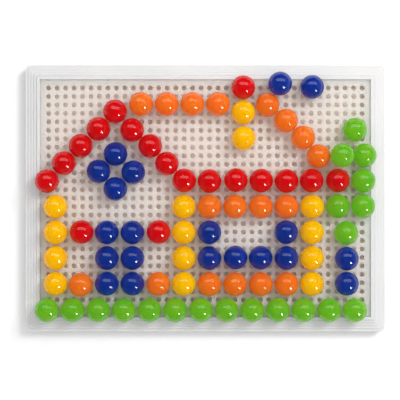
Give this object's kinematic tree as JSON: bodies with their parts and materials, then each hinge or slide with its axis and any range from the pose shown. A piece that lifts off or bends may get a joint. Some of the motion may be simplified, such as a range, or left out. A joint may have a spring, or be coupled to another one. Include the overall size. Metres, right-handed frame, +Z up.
{
  "type": "mosaic pegboard toy",
  "caption": "Perforated white board in a stepped frame, with glossy ball-headed pegs pressed into its holes to make a picture of a house, a tree and grass.",
  "frame": {"origin": "middle of the board, on the surface that the frame stands on", "axes": "+X along the board's long side, towards the picture's tree, +Y towards the picture's roof, +Z up out of the board along the pegs"},
  "size_m": [0.234, 0.1736, 0.0303],
  "materials": {
    "plate_white": "white, slightly translucent moulded plastic, fine satin",
    "frame_white": "white, slightly translucent moulded plastic, satin",
    "peg_red": "polished translucent red plastic",
    "peg_blue": "polished translucent blue plastic",
    "peg_green": "polished translucent green plastic",
    "peg_orange": "polished translucent orange plastic",
    "peg_yellow": "polished translucent yellow plastic"
  },
  "bodies": {
    "root": {"peg_plate": "plate_white", "stepped_frame": "frame_white"},
    "sky_peg_left": {"sky_peg_left": "peg_blue"},
    "sky_peg_right": {"sky_peg_right": "peg_blue"},
    "gable_peg_top": {"gable_peg_top": "peg_blue"},
    "gable_peg_left": {"gable_peg_left": "peg_blue"},
    "gable_peg_right": {"gable_peg_right": "peg_blue"},
    "gable_peg_bottom": {"gable_peg_bottom": "peg_blue"},
    "chimney_cap_peg": {"chimney_cap_peg": "peg_red"},
    "chimney_peg_upper": {"chimney_peg_upper": "peg_yellow"},
    "chimney_peg_lower": {"chimney_peg_lower": "peg_yellow"},
    "side_window_peg_left": {"side_window_peg_left": "peg_red"},
    "side_window_peg_right": {"side_window_peg_right": "peg_red"},
    "sill_peg_left": {"sill_peg_left": "peg_orange"},
    "sill_peg_right": {"sill_peg_right": "peg_orange"},
    "trunk_peg_upper": {"trunk_peg_upper": "peg_blue"},
    "trunk_peg_lower": {"trunk_peg_lower": "peg_blue"},
    "left_roof_peg_1": {"left_roof_peg_1": "peg_red"},
    "left_roof_peg_2": {"left_roof_peg_2": "peg_red"},
    "left_roof_peg_3": {"left_roof_peg_3": "peg_red"},
    "left_roof_peg_4": {"left_roof_peg_4": "peg_red"},
    "left_roof_peg_5": {"left_roof_peg_5": "peg_red"},
    "left_roof_peg_6": {"left_roof_peg_6": "peg_red"},
    "left_roof_peg_7": {"left_roof_peg_7": "peg_red"},
    "left_roof_peg_8": {"left_roof_peg_8": "peg_red"},
    "left_roof_peg_9": {"left_roof_peg_9": "peg_red"},
    "right_roof_peg_1": {"right_roof_peg_1": "peg_orange"},
    "right_roof_peg_2": {"right_roof_peg_2": "peg_orange"},
    "right_roof_peg_3": {"right_roof_peg_3": "peg_orange"},
    "right_roof_peg_4": {"right_roof_peg_4": "peg_orange"},
    "eaves_peg_1": {"eaves_peg_1": "peg_red"},
    "eaves_peg_2": {"eaves_peg_2": "peg_red"},
    "eaves_peg_3": {"eaves_peg_3": "peg_red"},
    "eaves_peg_4": {"eaves_peg_4": "peg_red"},
    "eaves_peg_5": {"eaves_peg_5": "peg_red"},
    "eaves_peg_6": {"eaves_peg_6": "peg_red"},
    "window_peg_1": {"window_peg_1": "peg_blue"},
    "window_peg_2": {"window_peg_2": "peg_blue"},
    "window_peg_3": {"window_peg_3": "peg_blue"},
    "window_peg_4": {"window_peg_4": "peg_blue"},
    "window_peg_5": {"window_peg_5": "peg_blue"},
    "window_peg_6": {"window_peg_6": "peg_blue"},
    "tree_peg_1": {"tree_peg_1": "peg_green"},
    "tree_peg_2": {"tree_peg_2": "peg_green"},
    "tree_peg_3": {"tree_peg_3": "peg_green"},
    "tree_peg_4": {"tree_peg_4": "peg_green"},
    "tree_peg_5": {"tree_peg_5": "peg_green"},
    "tree_peg_6": {"tree_peg_6": "peg_green"},
    "tree_peg_7": {"tree_peg_7": "peg_green"},
    "ridge_pegs": {"ridge_pegs": "peg_orange"},
    "door_pegs": {"door_pegs": "peg_blue"},
    "upper_wall_pegs": {"upper_wall_pegs": "peg_orange"},
    "lower_wall_pegs": {"lower_wall_pegs": "peg_orange"},
    "left_column_pegs": {"left_column_pegs": "peg_yellow"},
    "middle_column_pegs": {"middle_column_pegs": "peg_yellow"},
    "right_column_pegs": {"right_column_pegs": "peg_yellow"},
    "grass_pegs": {"grass_pegs": "peg_green"}
  },
  "joints": [
    {"name": "sky_peg_left_pull", "type": "slide", "parent": "root", "child": "sky_peg_left", "axis": [0.0865, 0.1214, 0.9888], "range_m": [0, 0.02]},
    {"name": "sky_peg_right_pull", "type": "slide", "parent": "root", "child": "sky_peg_right", "axis": [0, 0, 1], "range_m": [0, 0.01]},
    {"name": "gable_peg_top_pull", "type": "slide", "parent": "root", "child": "gable_peg_top", "axis": [0.0173, 0.1219, 0.9924], "range_m": [0, 0.01]},
    {"name": "gable_peg_left_pull", "type": "slide", "parent": "root", "child": "gable_peg_left", "axis": [0.0347, 0.1045, 0.9939], "range_m": [0, 0.01]},
    {"name": "gable_peg_right_pull", "type": "slide", "parent": "root", "child": "gable_peg_right", "axis": [0.0697, 0.0174, 0.9974], "range_m": [0, 0.01]},
    {"name": "gable_peg_bottom_pull", "type": "slide", "parent": "root", "child": "gable_peg_bottom", "axis": [0, 0.0698, 0.9976], "range_m": [0, 0.01]},
    {"name": "chimney_cap_peg_pull", "type": "slide", "parent": "root", "child": "chimney_cap_peg", "axis": [-0.0349, -0.0349, 0.9988], "range_m": [0, 0.01]},
    {"name": "chimney_peg_upper_pull", "type": "slide", "parent": "root", "child": "chimney_peg_upper", "axis": [-0.0349, 0.0174, 0.9992], "range_m": [0, 0.01]},
    {"name": "chimney_peg_lower_pull", "type": "slide", "parent": "root", "child": "chimney_peg_lower", "axis": [0, 0, 1], "range_m": [0, 0.01]},
    {"name": "side_window_peg_left_pull", "type": "slide", "parent": "root", "child": "side_window_peg_left", "axis": [0.0523, 0.0349, 0.998], "range_m": [0, 0.01]},
    {"name": "side_window_peg_right_pull", "type": "slide", "parent": "root", "child": "side_window_peg_right", "axis": [0.0349, 0.0349, 0.9988], "range_m": [0, 0.01]},
    {"name": "sill_peg_left_pull", "type": "slide", "parent": "root", "child": "sill_peg_left", "axis": [-0.0348, -0.0871, 0.9956], "range_m": [0, 0.01]},
    {"name": "sill_peg_right_pull", "type": "slide", "parent": "root", "child": "sill_peg_right", "axis": [0, 0, 1], "range_m": [0, 0.01]},
    {"name": "trunk_peg_upper_pull", "type": "slide", "parent": "root", "child": "trunk_peg_upper", "axis": [0.0349, -0.0523, 0.998], "range_m": [0, 0.01]},
    {"name": "trunk_peg_lower_pull", "type": "slide", "parent": "root", "child": "trunk_peg_lower", "axis": [0.0349, 0, 0.9994], "range_m": [0, 0.01]},
    {"name": "left_roof_peg_1_pull", "type": "slide", "parent": "root", "child": "left_roof_peg_1", "axis": [-0.0174, 0.1045, 0.9944], "range_m": [0, 0.01]},
    {"name": "left_roof_peg_2_pull", "type": "slide", "parent": "root", "child": "left_roof_peg_2", "axis": [0.0174, 0.0697, 0.9974], "range_m": [0, 0.01]},
    {"name": "left_roof_peg_3_pull", "type": "slide", "parent": "root", "child": "left_roof_peg_3", "axis": [-0.0349, -0.0349, 0.9988], "range_m": [0, 0.01]},
    {"name": "left_roof_peg_4_pull", "type": "slide", "parent": "root", "child": "left_roof_peg_4", "axis": [-0.0348, 0.0871, 0.9956], "range_m": [0, 0.01]},
    {"name": "left_roof_peg_5_pull", "type": "slide", "parent": "root", "child": "left_roof_peg_5", "axis": [0.0522, 0.0697, 0.9962], "range_m": [0, 0.01]},
    {"name": "left_roof_peg_6_pull", "type": "slide", "parent": "root", "child": "left_roof_peg_6", "axis": [-0.0174, 0.0697, 0.9974], "range_m": [0, 0.01]},
    {"name": "left_roof_peg_7_pull", "type": "slide", "parent": "root", "child": "left_roof_peg_7", "axis": [0.0174, 0.0349, 0.9992], "range_m": [0, 0.01]},
    {"name": "left_roof_peg_8_pull", "type": "slide", "parent": "root", "child": "left_roof_peg_8", "axis": [0, 0, 1], "range_m": [0, 0.01]},
    {"name": "left_roof_peg_9_pull", "type": "slide", "parent": "root", "child": "left_roof_peg_9", "axis": [0.0349, 0.0523, 0.998], "range_m": [0, 0.01]},
    {"name": "right_roof_peg_1_pull", "type": "slide", "parent": "root", "child": "right_roof_peg_1", "axis": [-0.1561, -0.0689, 0.9853], "range_m": [0, 0.02]},
    {"name": "right_roof_peg_2_pull", "type": "slide", "parent": "root", "child": "right_roof_peg_2", "axis": [-0.0523, 0.0523, 0.9973], "range_m": [0, 0.01]},
    {"name": "right_roof_peg_3_pull", "type": "slide", "parent": "root", "child": "right_roof_peg_3", "axis": [-0.0348, 0.0697, 0.997], "range_m": [0, 0.01]},
    {"name": "right_roof_peg_4_pull", "type": "slide", "parent": "root", "child": "right_roof_peg_4", "axis": [-0.1904, -0.0685, 0.9793], "range_m": [0, 0.02]},
    {"name": "eaves_peg_1_pull", "type": "slide", "parent": "root", "child": "eaves_peg_1", "axis": [0, 0, 1], "range_m": [0, 0.01]},
    {"name": "eaves_peg_2_pull", "type": "slide", "parent": "root", "child": "eaves_peg_2", "axis": [0.0695, 0.0869, 0.9938], "range_m": [0, 0.01]},
    {"name": "eaves_peg_3_pull", "type": "slide", "parent": "root", "child": "eaves_peg_3", "axis": [0.0349, 0.0349, 0.9988], "range_m": [0, 0.01]},
    {"name": "eaves_peg_4_pull", "type": "slide", "parent": "root", "child": "eaves_peg_4", "axis": [0, 0, 1], "range_m": [0, 0.01]},
    {"name": "eaves_peg_5_pull", "type": "slide", "parent": "root", "child": "eaves_peg_5", "axis": [-0.0523, 0.0349, 0.998], "range_m": [0, 0.01]},
    {"name": "eaves_peg_6_pull", "type": "slide", "parent": "root", "child": "eaves_peg_6", "axis": [0, 0.0523, 0.9986], "range_m": [0, 0.01]},
    {"name": "window_peg_1_pull", "type": "slide", "parent": "root", "child": "window_peg_1", "axis": [0, 0, 1], "range_m": [0, 0.01]},
    {"name": "window_peg_2_pull", "type": "slide", "parent": "root", "child": "window_peg_2", "axis": [-0.0349, 0.0174, 0.9992], "range_m": [0, 0.01]},
    {"name": "window_peg_3_pull", "type": "slide", "parent": "root", "child": "window_peg_3", "axis": [0, 0, 1], "range_m": [0, 0.01]},
    {"name": "window_peg_4_pull", "type": "slide", "parent": "root", "child": "window_peg_4", "axis": [0.0349, 0.0523, 0.998], "range_m": [0, 0.01]},
    {"name": "window_peg_5_pull", "type": "slide", "parent": "root", "child": "window_peg_5", "axis": [-0.0174, 0.0349, 0.9992], "range_m": [0, 0.01]},
    {"name": "window_peg_6_pull", "type": "slide", "parent": "root", "child": "window_peg_6", "axis": [0, 0, 1], "range_m": [0, 0.01]},
    {"name": "tree_peg_1_pull", "type": "slide", "parent": "root", "child": "tree_peg_1", "axis": [0, 0, 1], "range_m": [0, 0.01]},
    {"name": "tree_peg_2_pull", "type": "slide", "parent": "root", "child": "tree_peg_2", "axis": [0.1564, -0.0172, 0.9875], "range_m": [0, 0.02]},
    {"name": "tree_peg_3_pull", "type": "slide", "parent": "root", "child": "tree_peg_3", "axis": [0.0872, 0, 0.9962], "range_m": [0, 0.01]},
    {"name": "tree_peg_4_pull", "type": "slide", "parent": "root", "child": "tree_peg_4", "axis": [0, 0.0349, 0.9994], "range_m": [0, 0.01]},
    {"name": "tree_peg_5_pull", "type": "slide", "parent": "root", "child": "tree_peg_5", "axis": [0, 0.0349, 0.9994], "range_m": [0, 0.01]},
    {"name": "tree_peg_6_pull", "type": "slide", "parent": "root", "child": "tree_peg_6", "axis": [-0.0348, 0.0697, 0.997], "range_m": [0, 0.01]},
    {"name": "tree_peg_7_pull", "type": "slide", "parent": "root", "child": "tree_peg_7", "axis": [-0.0174, -0.0697, 0.9974], "range_m": [0, 0.01]},
    {"name": "ridge_pegs_pull", "type": "slide", "parent": "root", "child": "ridge_pegs", "axis": [0, 0, 1], "range_m": [0, 0.01]},
    {"name": "door_pegs_pull", "type": "slide", "parent": "root", "child": "door_pegs", "axis": [0, 0, 1], "range_m": [0, 0.01]},
    {"name": "upper_wall_pegs_pull", "type": "slide", "parent": "root", "child": "upper_wall_pegs", "axis": [0, 0, 1], "range_m": [0, 0.01]},
    {"name": "lower_wall_pegs_pull", "type": "slide", "parent": "root", "child": "lower_wall_pegs", "axis": [0, -0.0349, 0.9994], "range_m": [0, 0.01]},
    {"name": "left_column_pegs_pull", "type": "slide", "parent": "root", "child": "left_column_pegs", "axis": [0, 0, 1], "range_m": [0, 0.01]},
    {"name": "middle_column_pegs_pull", "type": "slide", "parent": "root", "child": "middle_column_pegs", "axis": [0, 0, 1], "range_m": [0, 0.01]},
    {"name": "right_column_pegs_pull", "type": "slide", "parent": "root", "child": "right_column_pegs", "axis": [0, 0, 1], "range_m": [0, 0.01]},
    {"name": "grass_pegs_pull", "type": "slide", "parent": "root", "child": "grass_pegs", "axis": [0, -0.0698, 0.9976], "range_m": [0, 0.01]}
  ]
}
